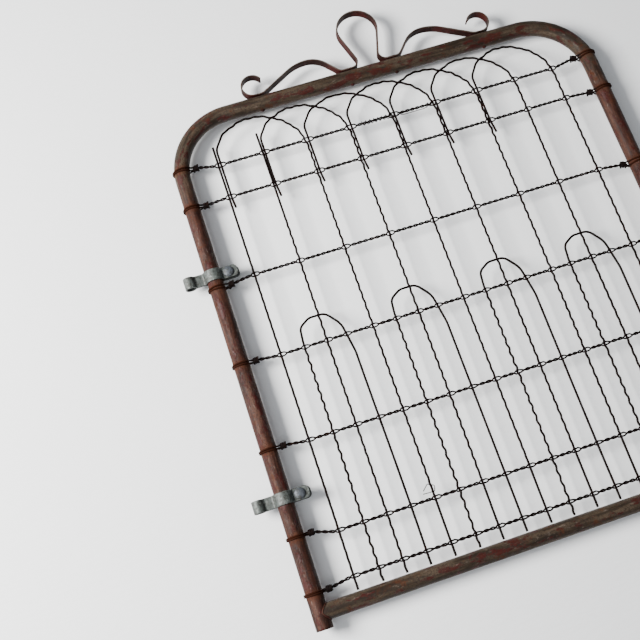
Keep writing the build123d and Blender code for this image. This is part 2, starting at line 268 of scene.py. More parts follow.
def even(path, step):
    """The same path with its points a step apart along it."""
    s = run_length(path)
    t = np.linspace(0, s[-1], max(3, int(s[-1] / step)))
    return np.stack([np.interp(t, s, path[:, i]) for i in range(3)], 1)


def ease(value, low, high):
    """Smooth step: 0 below low, 1 above high, 3t^2 - 2t^3 between."""
    t = np.clip((value - low) / (high - low), 0, 1)
    return t * t * (3 - 2 * t)


def smooth(values, reach):
    """Running mean over this many points each way, with the ends held."""
    ends = np.pad(values, [(reach, reach)] + [(0, 0)] * (values.ndim - 1), "edge")
    total = np.cumsum(np.concatenate([np.zeros_like(ends[:1]), ends]), axis=0)
    return (total[2 * reach + 1 :] - total[: -2 * reach - 1]) / (2 * reach + 1)


def wander(count, reach, size):
    """A smooth random drift along a bar, never more than this size."""
    drift = smooth(smooth(rng.standard_normal(count + 2 * reach), reach), reach)[reach : reach + count]
    return size * drift / np.abs(drift).max()


def carry(path, across, u, v):
    """A section carried along a path: point = path + u * side + v * up, where side is the
    path's direction crossed with the across axis and up completes the square. u and v are
    arrays of (points along, points round)."""
    direction = np.gradient(path, axis=0)
    direction /= np.linalg.norm(direction, axis=1)[:, None]
    side = np.cross(direction, np.array(across, float))
    side /= np.linalg.norm(side, axis=1)[:, None]
    up = np.cross(side, direction)
    grid = path[:, None] + u[:, :, None] * side[:, None] + v[:, :, None] * up[:, None]
    s = np.broadcast_to(run_length(path)[:, None], u.shape)
    return grid, np.stack([s, u, v], -1)


def tube(path, radius, sides=10, across=(0, 1, 0)):
    """A round bar along a path: u = r cos a, v = r sin a, with r a number or one per point."""
    a = np.linspace(0, 2 * np.pi, sides, endpoint=False)[None, :]
    r = np.broadcast_to(np.asarray(radius, float).reshape(-1, 1), (len(path), 1))
    return carry(path, across, r * np.cos(a), r * np.sin(a))


def skin(name, *shells):
    """A mesh of closed shells. Each is (grid, flow): a grid of points (along, round, 3)
    joined round its section with a flat cap on each end, and the place of each point along
    and round the bar. Faces turn outwards: a shell with a negative volume is flipped."""
    points, faces, sizes, base = [], [], [], 0
    for grid, flow in shells:
        n, m = grid.shape[:2]
        ring = np.arange(m)
        after = np.roll(ring, -1)
        row = m * np.arange(n - 1)[:, None]
        quads = np.stack([row + ring, row + m + ring, row + m + after, row + after], -1).reshape(-1, 4)
        caps = np.stack([ring, (m * (n - 1) + ring)[::-1]])
        corner = grid.reshape(-1, 3) - grid.reshape(-1, 3).mean(0)
        p, q, r, s = (corner[quads[:, i]] for i in range(4))
        volume = np.sum(p * np.cross(q, r)) + np.sum(p * np.cross(r, s))
        if volume < 0:
            quads, caps = quads[:, ::-1], caps[:, ::-1]
        faces += [base + quads.reshape(-1), base + caps.reshape(-1)]
        sizes += [np.full(len(quads), 4), np.array([m, m])]
        points.append(grid.reshape(-1, 3))
        base += n * m
    points, faces, sizes = np.concatenate(points), np.concatenate(faces), np.concatenate(sizes)
    mesh = bpy.data.meshes.new(name)
    mesh.vertices.add(len(points))
    mesh.vertices.foreach_set("co", points.astype(np.float32).ravel())
    mesh.loops.add(len(faces))
    mesh.loops.foreach_set("vertex_index", faces.astype(np.int32))
    mesh.polygons.add(len(sizes))
    starts = np.concatenate([[0], np.cumsum(sizes)[:-1]])
    mesh.polygons.foreach_set("loop_start", starts.astype(np.int32))
    mesh.update(calc_edges=True)
    mesh.polygons.foreach_set("use_smooth", sizes == 4)
    flow = mesh.attributes.new("flow", "FLOAT_VECTOR", "POINT")
    flows = np.concatenate([flow.reshape(-1, 3) for grid, flow in shells])
    flow.data.foreach_set("vector", flows.astype(np.float32).ravel())
    made = bpy.data.objects.new(name, mesh)
    bpy.context.scene.collection.objects.link(made)
    return made


def fit(piece, body, finish, slot, *nodes):
    """Gives a finished piece its finish and its body, and hides the nodes it stands for. slot is not used.
    """
    piece.data.materials.append(finish)
    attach(piece, body)
    if nodes:
        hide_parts(*nodes)


def worn_paint(name, olive_above, red):
    """Rusty tube under old paint: red-brown with a pale chalky bloom, turning olive
    brown above a height, with dark red flakes, orange rust round the wire wraps, pale
    scuffs and black pits. red is how much of the red coat is left."""
    coat = Finish(name)
    place = coat.place()
    flow = coat.flow()
    streaks = coat.noise(coat.stretched(flow, (10, 90, 90)), 1.0, 6.0, 0.62)
    clouds = coat.noise(place, 13.0, 5.0, 0.6)
    patches = coat.noise(coat.stretched(flow, (24, 60, 60)), 1.0, 8.0, 0.7)
    grain = coat.noise(place, 380.0, 5.0, 0.65)
    scuffs = coat.noise(coat.stretched(flow, (60, 260, 260)), 1.0, 6.0, 0.7)
    freckles = coat.cells(place, 300.0)
    pits = coat.cells(place, 160.0)
    height = coat.split(place, "Z")
    top_part = coat.step(height + clouds * 0.12, olive_above, olive_above + 0.12)
    brown = coat.blend((0.013, 0.0038, 0.0022), (0.056, 0.0195, 0.0115), coat.step(streaks, 0.35, 0.65))
    olive = coat.blend((0.013, 0.0085, 0.005), (0.052, 0.037, 0.024), coat.step(streaks, 0.35, 0.65))
    base = coat.blend(brown, olive, top_part)
    bloom = coat.step(clouds * 0.5 + streaks * 0.5, 0.48, 0.64) * (1 - top_part * 0.7)
    base = coat.blend(base, (0.088, 0.054, 0.039), bloom * 0.38)
    flakes = coat.step(patches, 0.565 - 0.1 * red, 0.615 - 0.09 * red)
    base = coat.blend(base, (0.034, 0.0045, 0.0034), flakes * 0.85)
    rust = coat.step(coat.noise(place, 42.0, 8.0, 0.72), 0.53, 0.68)
    for above_foot, lift in zip(line_heights, line_end_lifts):
        level = foot_z + above_foot + lift - 0.002
        off = coat.figure("ABSOLUTE", height - level, 0.0)
        rust = coat.figure("MAXIMUM", rust, (1 - coat.step(off, 0.003, 0.016)) * (clouds + 0.35))
    base = coat.blend(base, (0.05, 0.0135, 0.004), rust * 0.7)
    spots = (1 - coat.step(freckles, 0.1, 0.32)) * coat.step(clouds, 0.4, 0.58)
    base = coat.blend(base, (0.008, 0.0045, 0.0035), spots * 0.8)
    base = coat.blend(base, (0.16, 0.125, 0.105), coat.step(scuffs, 0.58, 0.7) * 0.5)
    base = coat.blend(base, (0.012, 0.007, 0.0055), (1 - coat.step(grain, 0.36, 0.52)) * 0.7)
    gloss = 0.56 + rust * 0.25 + bloom * 0.12 - flakes * 0.08 + (grain - 0.5) * 0.35
    relief = grain * 0.4 + flakes * 0.35 + coat.step(pits, 0.05, 0.25) * 0.3 + clouds * 0.3
    return coat.lay(base, gloss, 0.0, relief, 0.0012, 0.14)


straight_part = top_z - foot_z - corner_bend
rail_part = right_x - left_x - 2 * corner_bend
frame_corner = (corner_bend, -90)
frame_moves = [(straight_part, 0), frame_corner, (rail_part, 0), frame_corner, (straight_part, 0)]
frame_path = even(upright(bend_bar((left_x, foot_z), 90, frame_moves)), frame_step)
count = len(frame_path)
from_end = np.minimum(np.arange(count), np.arange(count)[::-1])
settled = ease(from_end, straight_reach, wavy_reach)
frame_path[:, 0] += wander(count, 40, 0.0007) * settled
frame_path[:, 1] += wander(count, 40, 0.0004) * settled
dents = -np.abs(wander(count, 2, 0.00022)) - np.abs(wander(count, 14, 0.00016))
outer_skin, outer_flow = tube(frame_path, tube_radius + dents, 72)
inner_skin, inner_flow = tube(frame_path, tube_radius - tube_wall, 72)
inside = int(inside_reach / frame_step)
frame_grid = np.concatenate([inner_skin[inside::-1], outer_skin, inner_skin[: -inside - 1 : -1]])
frame_flow = np.concatenate([inner_flow[inside::-1], outer_flow, inner_flow[: -inside - 1 : -1]])
frame_paint = worn_paint("frame_paint", top_z - 0.14, 0.45)
fit(skin("frame_tube_steel", (frame_grid, frame_flow)), "gate", frame_paint, "frame_paint", "frame_tube")


# ---------------------------------------------------------------------------------------
# Bottom rail: a slightly smaller tube between the stiles, its ends coped to sit round
# them and welded all the way round with a thin hand-laid bead.
rail_low, rail_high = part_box("bottom_rail")
rail_radius = (rail_high.z - rail_low.z) / 2
rail_z = (rail_low.z + rail_high.z) / 2
bead_radius = 0.0012


def coped_rail(steps, sides):
    """A level tube whose ends follow the stiles: at angle a round it the end stands
    sqrt(R^2 - (r sin a)^2) off the stile's axis, and x runs evenly from end to end."""
    a = np.linspace(0, 2 * np.pi, sides, endpoint=False)[None, :]
    t = np.linspace(0, 1, steps)[:, None]
    r = rail_radius - np.abs(wander(steps, 3, 0.0002))[:, None]
    cope = np.sqrt(tube_radius**2 - (rail_radius * np.sin(a)) ** 2) - 0.0004
    x = left_x + cope + t * (right_x - left_x - 2 * cope)
    grid = np.stack([x, r * np.sin(a) + 0 * x, rail_z + r * np.cos(a) + 0 * x], -1)
    return grid, np.stack([x, grid[..., 1], grid[..., 2]], -1)


def weld_bead(stile_x, facing):
    """A bead on the line where the two tubes meet, its radius rippled along its length."""
    a = np.linspace(0, 2 * np.pi + 0.06, 260)
    ring = rail_radius + 0.0004
    off = np.sqrt(tube_radius**2 - (ring * np.sin(a)) ** 2)
    path = np.stack([stile_x + facing * (off + 0.0004), ring * np.sin(a), rail_z + ring * np.cos(a)], 1)
    ripples = 1 + 0.1 * np.sin(34 * a) + wander(len(a), 6, 0.14)
    return tube(path, bead_radius * ripples, 10, (1, 0, 0))


rail_paint = worn_paint("rail_paint", foot_z - 0.2, 0.55)
bottom_rail = skin("bottom_rail_tube", coped_rail(240, 64))
fit(bottom_rail, "gate", rail_paint, "rail_paint", "bottom_rail")
rail_welds = skin("bottom_rail_welds", weld_bead(left_x, 1), weld_bead(right_x, -1))
fit(rail_welds, "gate", frame_paint, "frame_paint")


# ---------------------------------------------------------------------------------------
# Top scroll: one flat iron bar on edge, bent cold to a loop, two humps and two end curls.
# It is dark with rust and the last of its red paint, and rubbed grey along the edges.
scroll_low, scroll_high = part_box("top_scroll")
scroll_depth = scroll_high.y - scroll_low.y
scroll_thick = 0.003
rail_top = tube_high.z
top_bend, foot_bend, lean = 0.042, 0.015, 17
foot_flat, hump_height = 0.0195, 0.0458
lift_bend, inner_bend, outer_bend, curl_bend = 0.0135, 0.052, 0.09, 0.0227
rise, fall = 49, 28.5
curl_flat, curl_sweep = 0.01, 240


def sloped_run(climb, bends, angle):
    """Straight length between two bends that together climb this much at this angle."""
    return (climb - bends * (1 - np.cos(radians(angle)))) / np.sin(radians(angle))


def flat_section(steps, thick, wide, corner):
    """A flat bar's section with rounded edges: a quarter circle at each corner and six
    points down each wide face."""
    quarter = np.linspace(0, np.pi / 2, 5)
    face = np.linspace(-1, 1, 8)[1:-1] * (wide / 2 - corner)
    across, along = corner * np.cos(quarter), corner * np.sin(quarter)
    half_u = np.concatenate([across + thick / 2 - corner, -along - thick / 2 + corner])
    half_v = np.concatenate([along, across]) + wide / 2 - corner
    u = np.concatenate([half_u, np.full(6, -thick / 2), -half_u, np.full(6, thick / 2)])
    v = np.concatenate([half_v, face[::-1], -half_v, face])
    return np.tile(u, (steps, 1)), np.tile(v, (steps, 1))


loop_top = scroll_high.z - scroll_thick / 2 - rail_top
leg_climb = loop_top - top_bend - top_bend * np.sin(radians(lean))
leg_climb -= scroll_thick / 2 + foot_bend * (1 + np.sin(radians(lean)))
hump_climb = hump_height - scroll_thick / 2
scroll_moves = [
    (top_bend, -90 - lean),
    (leg_climb / np.cos(radians(lean)), 0),
    (foot_bend, 90 + lean),
    (foot_flat, 0),
    (lift_bend, rise),
    (sloped_run(hump_climb, inner_bend + lift_bend, rise), 0),
    (inner_bend, -rise),
    (outer_bend, -fall),
    (sloped_run(hump_climb, outer_bend + curl_bend, fall), 0),
    (curl_bend, fall),
    (curl_flat, 0),
    (curl_bend, curl_sweep),
]
scroll_half = upright(bend_bar((centre_x, rail_top + loop_top), 0, scroll_moves))
mirrored = scroll_half[:0:-1] * (-1, 1, 1) + (2 * centre_x, 0, 0)
scroll_path = even(np.concatenate([mirrored, scroll_half]), 0.0015)
bar_u, bar_v = flat_section(len(scroll_path), scroll_thick, scroll_depth, 0.0008)
bar_u = bar_u * (1 - np.abs(wander(len(scroll_path), 5, 0.06))[:, None])
bar_v = bar_v * (1 - np.abs(wander(len(scroll_path), 9, 0.012))[:, None])

scroll_iron = Finish("scroll_iron")
iron_place = scroll_iron.place()
iron_flow = scroll_iron.flow()
iron_edge = scroll_iron.figure("ABSOLUTE", scroll_iron.split(iron_flow, "Z"), 0.0)
iron_clouds = scroll_iron.noise(iron_place, 26.0, 6.0, 0.62)
iron_grain = scroll_iron.noise(iron_place, 420.0, 5.0, 0.65)
iron_streaks = scroll_iron.noise(scroll_iron.stretched(iron_flow, (30, 200, 200)), 1.0, 7.0, 0.68)
iron_base = scroll_iron.blend((0.005, 0.0017, 0.0013), (0.021, 0.0055, 0.004), iron_streaks)
iron_paint = scroll_iron.step(iron_clouds * 0.6 + iron_streaks * 0.4, 0.47, 0.55)
iron_base = scroll_iron.blend(iron_base, (0.034, 0.0035, 0.0027), iron_paint * 0.75)
iron_rust = scroll_iron.step(scroll_iron.noise(iron_place, 60.0, 8.0, 0.7), 0.55, 0.7)
iron_base = scroll_iron.blend(iron_base, (0.045, 0.016, 0.007), iron_rust * 0.5)
iron_rubbed = scroll_iron.step(iron_edge, scroll_depth / 2 - 0.0009, scroll_depth / 2 - 0.0001)
iron_rubbed = iron_rubbed * scroll_iron.step(iron_streaks, 0.36, 0.56)
iron_base = scroll_iron.blend(iron_base, (0.1, 0.085, 0.07), iron_rubbed * 0.55)
iron_gloss = 0.68 + iron_rust * 0.25 - iron_paint * 0.1 + (iron_grain - 0.5) * 0.35
iron_relief = iron_grain * 0.45 + iron_paint * 0.3 + iron_clouds * 0.3
scroll_finish = scroll_iron.lay(iron_base, iron_gloss, iron_rubbed * 0.15, iron_relief, 0.0009, 0.06)
scroll_bar = skin("top_scroll_bar", carry(scroll_path, (0, 1, 0), bar_u, bar_v))
fit(scroll_bar, "gate", scroll_finish, "scroll_iron", "top_scroll")


# ---------------------------------------------------------------------------------------
# Scroll rivets: four soft iron rivets through the bar and the rail, hammered to a dome
# above the bar and peened over below the rail.
rivet_low, rivet_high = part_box("scroll_rivets")
rivet_rise = 0.0026
rivet_radius = 0.00475
tail_radius = 0.85 * rivet_radius
shank_radius = 0.0025
foot_start = (top_bend + foot_bend) * np.cos(radians(lean)) - leg_climb * np.tan(radians(lean))
inner_rivet = foot_start + foot_flat / 2
outer_rivet = rivet_high.x - rivet_radius - centre_x


def rivet(x):
    """One rivet on its own axis: each end swells from nothing as r * sqrt(t (2 - t)) over
    its rise t, holds for the edge of the head, and drops to the shank between."""
    t = np.linspace(0.02, 1, 12)
    swell = np.sqrt(t * (2 - t))
    low = rivet_low.z + rivet_rise * t
    high = rivet_high.z - rivet_rise * t[::-1]
    z = np.concatenate([low, [low[-1], high[0]], high])
    r = np.concatenate([tail_radius * swell, [shank_radius] * 2, rivet_radius * swell[::-1]])
    axis = np.stack([np.full(len(z), x), 0 * z, np.linspace(low[0], high[-1], len(z))], 1)
    grid, flow = tube(axis, r, 28)
    grid[..., 2] = z[:, None]
    a = np.arctan2(grid[..., 1], grid[..., 0] - x)
    lumps = 1 + 0.05 * np.sin(3 * a + 40 * x) + 0.04 * np.sin(5 * a + 90 * x)
    grid[..., :2] = (x, 0) + (grid[..., :2] - (x, 0)) * lumps[..., None]
    return grid, flow


rivet_places = (-outer_rivet, -inner_rivet, inner_rivet, outer_rivet)
rivets = skin("scroll_rivets_hammered", *[rivet(centre_x + off) for off in rivet_places])
fit(rivets, "gate", scroll_finish, "scroll_iron", "scroll_rivets")


# ---------------------------------------------------------------------------------------
# Straight pickets: the two hard-drawn wires on the hinge side, cut off just above the
# mesh. Like all the upright wires they are slightly crimped, and brown-black with rust.
picket_pitch = 0.09
picket_radius = 0.0023
picket_foot = foot_z + 0.045
picket_drift = np.array([-2.5, -0.5, 1.5, 3, 5.5, 5.5, 7, 3, -2.5]) / 1000
picket_x = centre_x + (np.arange(9) - 4) * picket_pitch + picket_drift
straight_tops = (foot_z + 0.9435, foot_z + 0.947)
crimp_pitch = 0.0195
uprights = []


def rusty_wire(name, orange_reach):
    """Old wire: brown-black and finely mottled, with orange rust in patches and wherever it
    lies within orange_reach of a stile."""
    wire = Finish(name)
    place = wire.place()
    clouds = wire.noise(place, 60.0, 6.0, 0.65)
    grain = wire.noise(place, 900.0, 4.0, 0.6)
    base = wire.blend((0.0018, 0.0009, 0.0008), (0.006, 0.0023, 0.0018), wire.step(grain, 0.35, 0.65))
    rust = wire.step(clouds, 0.56, 0.7) * 0.4
    across_gate = wire.split(place, "X")
    for stile_x in (left_x, right_x):
        off = wire.figure("ABSOLUTE", across_gate - stile_x, 0.0)
        rust = wire.figure("MAXIMUM", rust, 1 - wire.step(off, orange_reach * 0.7, orange_reach))
    base = wire.blend(base, (0.026, 0.0062, 0.0018), rust * (0.35 + clouds * 0.7))
    gloss = 0.66 + rust * 0.2 + (grain - 0.5) * 0.3
    return wire.lay(base, gloss, 0.0, grain * 0.6 + clouds * 0.4, 0.0004, 0.06)


def crimped(path, size, start, end):
    """The path with a wave of one crimp pitch across the gate: sideways shift is
    size * sin(2 pi s / pitch), let in and out between the start and end lengths. The
    whole wire also bows a little from side to side."""
    path = even(path, 0.0011)
    s = run_length(path)
    direction = np.gradient(path, axis=0)
    direction /= np.linalg.norm(direction, axis=1)[:, None]
    across = np.cross(direction, (0, 1, 0))
    wave = np.sin(2 * np.pi * s / crimp_pitch + rng.uniform(0, 6)) * (1 + wander(len(s), 30, 0.25))
    keep = ease(s, start - 0.02, start + 0.02) * (1 - ease(s, end - 0.02, end + 0.02))
    bow = wander(len(s), 120, 0.0009) * ease(s, 0, 0.08) * (1 - ease(s, s[-1] - 0.08, s[-1]))
    return path + across * (size * wave * keep + bow)[:, None]


fabric_wire = rusty_wire("fabric_wire", 0.001)
for number, top in enumerate(straight_tops, start=1):
    x = picket_x[number - 1]
    path = np.array([(x, 0, top), (x, 0, picket_foot)])
    path = crimped(path, 0.0002 + 0.0004 * (number - 1), 0.2, 0.9)
    uprights.append(path)
    picket = skin(f"picket_{number}_wire", tube(path, picket_radius, 12))
    fit(picket, "gate", fabric_wire, "fabric_wire", f"picket_{number}")


# ---------------------------------------------------------------------------------------
# Looped pickets: each wire rises beside one picket, arches over the next and runs down as
# the one after that, in front of one neighbour and behind the other.
crown_heights = (0.984, 0.982, 0.9805, 0.9805, 0.9805, 0.9805, 0.9805)
leg_shift = 0.0051
leg_end = foot_z + 0.805
pass_over = 0.0024


def eased_corners(points, bends):
    """A wire through these corners, each turned as a parabola that starts and ends where
    a bend of that radius would: r * tan(turn / 2) from the corner."""
    points = np.array(points, float)
    leg = np.diff(points, axis=0)
    leg /= np.linalg.norm(leg, axis=1)[:, None]
    t = np.linspace(0, 1, 40)[:, None]
    pieces = [points[:1]]
    for corner, into, out, bend in zip(points[1:-1], leg[:-1], leg[1:], bends):
        cut = bend * np.tan(np.arccos(np.clip(into @ out, -1, 1)) / 2)
        start, end = corner - into * cut, corner + out * cut
        pieces.append((1 - t) ** 2 * start + 2 * t * (1 - t) * corner + t**2 * end)
    return np.concatenate(pieces + [points[-1:]])


for number, crown_height in enumerate(crown_heights, start=1):
    leg_x = picket_x[number - 1] + leg_shift
    far_x = picket_x[number + 1]
    span = far_x - leg_x
    crown = foot_z + crown_height
    rise_up = crown - first_line_z
    splay = rng.uniform(0.001, 0.004)
    corners = [
        (leg_x + splay, 0, leg_end + rng.uniform(-0.003, 0.003)),
        (leg_x, 0, leg_end + 0.022),
        (leg_x, 0, crown - 0.58 * rise_up),
        (leg_x + 0.12 * span, -pass_over, crown - 0.22 * rise_up),
        (leg_x + 0.36 * span, -pass_over, crown),
        (leg_x + 0.60 * span, pass_over, crown),
        (leg_x + 0.82 * span, pass_over, crown - 0.28 * rise_up),
        (leg_x + 0.96 * span, 0, crown - 0.68 * rise_up),
        (far_x, 0, crown - 1.12 * rise_up),
        (far_x, 0, picket_foot),
    ]
    path = eased_corners(corners, (0.03, 0.026, 0.028, 0.05, 0.05, 0.045, 0.045, 0.06))
    path = crimped(path, 0.0005 + 0.00015 * (number % 3), 0.17, 1.1)
    uprights.append(path)
    picket = skin(f"looped_picket_{number}_wire", tube(path, picket_radius, 12))
    fit(picket, "gate", fabric_wire, "fabric_wire", f"looped_picket_{number}")


# ---------------------------------------------------------------------------------------
# Lower loops: staples of the same wire that halve the spacing of the lower mesh. The
# rising leg is plainly crimped and the falling leg is nearly smooth.
lower_crown = foot_z + 0.5445
cross_over = 0.0046
for number in range(1, 5):
    middle = picket_x[2 * number - 1]
    reach = picket_pitch / 2
    corners = [
        (middle - reach, 0, picket_foot),
        (middle - reach, 0, lower_crown - 0.042),
        (middle - 0.94 * reach, -0.4 * cross_over, lower_crown - 0.013),
        (middle - 0.46 * reach, -cross_over, lower_crown),
        (middle + 0.26 * reach, -cross_over, lower_crown),
        (middle + 0.80 * reach, 0, lower_crown - 0.028),
        (middle + reach, 0, lower_crown - 0.088),
        (middle + reach, 0, picket_foot),
    ]
    path = eased_corners(corners, (0.024, 0.018, 0.022, 0.024, 0.04, 0.08))
    path = crimped(path, 0.00105, 0.0, 0.44)
    uprights.append(path)
    lower_loop = skin(f"lower_loop_{number}_wire", tube(path, picket_radius, 12))
    fit(lower_loop, "gate", fabric_wire, "fabric_wire", f"lower_loop_{number}")


# ---------------------------------------------------------------------------------------
# Line wires: two strands twisted together with each upright gripped between them. Each
# strand goes round the stile and back, and is knotted round the pair beside it.
strand_radius = 0.00162
pair_offset = strand_radius + 0.00005
grip_offset = picket_radius + strand_radius + 0.00006
half_turn = 0.01125
eye_hold = 0.0042
eye_tilt = 0.6
eye_offset = grip_offset / np.cos(eye_tilt)
hook_bend = 0.012
hook_lift = 0.0014
hook_drops = (0.004, 0.003, 0.006, 0.003, 0.003, 0.001, 0.001)
coil_pitch = 0.006
coil_turn = radians(562.3)
coil_radius = 2 * pair_offset + strand_radius
cut_end = 0.005
hook_tail = 0.003
wrap_gap = 0.0001
long_eye, short_eye = 0.0135, 0.0095


def stile_inset(height):
    """How far the bent tube has turned in at a height."""
    above = max(0.0, height - (top_z - corner_bend))
    return corner_bend - np.sqrt(corner_bend**2 - above**2)


def crossings(level):
    """Where the uprights cross a level: (middle, half width) of each group of wires that
    stand less than 9 mm apart."""
    found = []
    for path in uprights:
        over = path[:, 2] - level
        at = np.flatnonzero(over[:-1] * over[1:] < 0)
        share = over[at] / (over[at] - over[at + 1])
        found += list(path[at, 0] + share * (path[at + 1, 0] - path[at, 0]))
    found = np.sort(found)
    groups = np.split(found, np.flatnonzero(np.diff(found) > 0.009) + 1)
    return [((g[0] + g[-1]) / 2, (g[-1] - g[0]) / 2) for g in groups]


def twist(groups, start, end, lead):
    """Knots (x, phase) of the pair's twist, which stops for eye_hold on each side of an
    upright. There one strand is in front and a little higher, the other behind;
    from one upright to the next the pair makes whole half turns."""
    x, phase = [start], [lead]
    for middle, half in groups:
        half = half + eye_hold
        gap = middle - half - x[-1]
        turned = phase[-1] + np.pi * gap / half_turn
        tilted = np.pi / 2 + eye_tilt
        grip = tilted + np.pi * np.round((turned - tilted) / np.pi)
        x += [middle - half, middle + half]
        phase += [grip, grip]
    turned = phase[-1] + np.pi * (end - x[-1]) / half_turn
    x.append(end)
    phase.append(lead + 2 * np.pi * np.round((turned - lead) / (2 * np.pi)))
    return np.array(x), np.array(phase)


def stile_hook(ring, drop):
    """A strand's way round the stile, seen from above: out of its knot on the far side,
    round the tube and back on the near side. Its height climbs by the drop on the way."""
    angle = np.arcsin((grip_offset + hook_bend) / (ring + hook_bend))
    turn = np.degrees(angle)
    off = (ring + hook_bend) * np.cos(angle)
    moves = [(hook_tail, 0), (hook_bend, turn - 90), (ring, 360 - 2 * turn), (hook_bend, turn - 90)]
    flat = bend_bar((off + hook_tail, grip_offset), 180, moves, 0.0008)
    climb = np.linspace(-drop, 0, len(flat)) + hook_lift
    return np.concatenate([flat, climb[:, None]], 1), off


def line_wire(number):
    """The shells of one line wire: two strands with a hook at each end, and four knots."""
    above_foot, lift = line_heights[number - 1], line_end_lifts[number - 1]
    level = foot_z + above_foot
    end_z = level + lift
    inset = stile_inset(end_z)
    ring = tube_radius + strand_radius + wrap_gap + 0.2 * inset
    hook, off = stile_hook(ring, hook_drops[number - 1])
    start, end = left_x + inset + off, right_x - inset - off
    groups = [g for g in crossings(level) if start + 0.01 < g[0] < end - 0.01]
    lead = np.arctan2(-grip_offset, hook_lift)
    knots_x, knots_phase = twist(groups, start, end, lead)
    x = np.arange(start, end, 0.0007)
    phase = np.interp(x, knots_x, knots_phase)
    phase = smooth(phase, 2)
    reach = pair_offset + (np.hypot(grip_offset, hook_lift) - pair_offset) * (
        1 - ease(np.minimum(x - start, end - x), 0.0, 0.006)
    )
    for middle, half in groups:
        narrow = above_foot < 0.5 and np.abs(picket_x - middle).min() > 0.02
        eye_length = short_eye if narrow else long_eye
        open_eye = 1 - ease(np.abs(x - middle) - half, 0.0, eye_length)
        reach = np.maximum(reach, pair_offset + (eye_offset - pair_offset) * open_eye)
    first, last = groups[0][0], groups[-1][0]
    slope_x = [start + 0.006, first - 0.008, last + 0.008, end - 0.006]
    height = level + smooth(np.interp(x, slope_x, [lift, 0, 0, lift]), 8)
    shells = []
    for side in (1, -1):
        run = np.stack([x, side * reach * np.sin(phase), height + side * reach * np.cos(phase)], 1)
        left_hook = hook * (1, side, 1)
        left_hook[:, 2] += (side - 1) * hook_lift
        right_hook = left_hook[::-1] * (-1, 1, 1)
        left_hook = left_hook + (left_x + inset, 0, end_z)
        right_hook = right_hook + (right_x - inset, 0, end_z)
        strand = even(np.concatenate([left_hook, run, right_hook]), 0.0009)
        shells.append(tube(smooth(strand, 1), strand_radius, 8, (0, 0, 1)))
        for knot_x, facing in ((start - 0.002, 1), (end + 0.002, -1)):
            a = np.linspace(0, coil_turn, 70)
            grown = coil_radius + (np.hypot(grip_offset, hook_lift) - coil_radius) * (1 - ease(a, 0, 1.5))
            spin = np.pi - lead + a
            coil_z = end_z - hook_drops[number - 1] * (1 - ease(a, 0, 2.5))
            coil_x = knot_x + facing * coil_pitch * a / (2 * np.pi)
            coil = np.stack([coil_x, grown * np.sin(spin), grown * np.cos(spin)], 1)
            coil[:, 1:] *= side
            coil[:, 2] += coil_z
            last_step = coil[-1] - coil[-2]
            onward = last_step / np.linalg.norm(last_step)
            stub = coil[-1] + onward * np.linspace(0.0006, cut_end, 8)[:, None]
            shells.append(tube(np.concatenate([coil, stub]), strand_radius, 8, (1, 0, 0)))
    return shells


line_finish = rusty_wire("line_wire", 0.021)
for number in range(1, 8):
    wires = skin(f"line_wire_{number}_strands", *line_wire(number))
    fit(wires, "gate", line_finish, "line_wire", f"line_wire_{number}")


# ---------------------------------------------------------------------------------------
# Repair wire and scrap: a thin wire wound on the top line wire with a slack length
# between its two windings, and a bent offcut left hooked on the third picket.
thin_radius = 0.0008
repair_low, repair_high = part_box("repair_wire")
winding_pitch = 0.0085
winding_step = 0.0004
slack_front, slack_drop = 0.0052, 0.0085


def repair_path():
    """The thin wire: it winds round the pair at radius r, one turn per pitch, except
    where it hangs slack in front of it, and opens round the picket it passes."""
    x = np.arange(repair_low.x, repair_high.x, winding_step)
    past = x - picket_x[4]
    slack = ease(past, 0.006, 0.022) * (1 - ease(past, 0.064, 0.078))
    around_pair = pair_offset + strand_radius + thin_radius
    around_eye = eye_offset + strand_radius + thin_radius
    r = around_pair + (around_eye - around_pair) * (1 - ease(np.abs(past), 0.0, long_eye))
    phase = np.cumsum(2 * np.pi * winding_step / winding_pitch * (1 - slack))
    y = -r * np.cos(phase) * (1 - slack) - slack_front * slack
    z = r * np.sin(phase) * (1 - slack) - slack_drop * slack
    return np.stack([x, y, first_line_z + z], 1)


repair_finish = rusty_wire("repair_wire", 0.001)
repair = skin("repair_wire_winding", tube(even(repair_path(), 0.0006), thin_radius, 8, (0, 0, 1)))
fit(repair, "gate", repair_finish, "repair_wire", "repair_wire")

scrap_low, scrap_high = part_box("wire_scrap")
scrap_y = -(picket_radius + thin_radius + wrap_gap)
scrap_points = [
    (picket_x[2] - 0.019, scrap_y, scrap_low.z + 0.0018),
    (picket_x[2] + 0.003, scrap_y, scrap_low.z + 0.0008),
    (picket_x[2] + 0.006, scrap_y, scrap_low.z + 0.0108),
    (picket_x[2] - 0.006, scrap_y, scrap_high.z - 0.0008),
    (picket_x[2] - 0.017, scrap_y, scrap_low.z + 0.0068),
]
scrap_path = even(eased_corners(scrap_points, (0.003, 0.003, 0.003)), 0.0006)
scrap = skin("wire_scrap_bent", tube(scrap_path, thin_radius, 8))
fit(scrap, "gate", repair_finish, "repair_wire", "wire_scrap")


# ---------------------------------------------------------------------------------------
# Hinges: a galvanised strap folded round the stile, nipped together, opened out to an eye
# for the pintle and drawn tight by a carriage bolt with a hexagon nut.
eye_x = left_x - 0.0477
strap_thick = 0.0028
strap_width = 0.0235
eye_radius = 0.00835 + strap_thick / 2
band_radius = tube_radius + 0.000325 + strap_thick / 2
flange_y = 0.0045 + strap_thick / 2
neck_y = 0.0004 + strap_thick / 2
fold_bend, nip_bend = 0.0039, 0.0064
flange_reach = 0.048
flange_extra = 0.003
flange_corner = 0.0085
bolt_x = left_x + 0.03
bolt_shank = 0.00475
thread_pitch, thread_depth = 0.0016, 0.0006


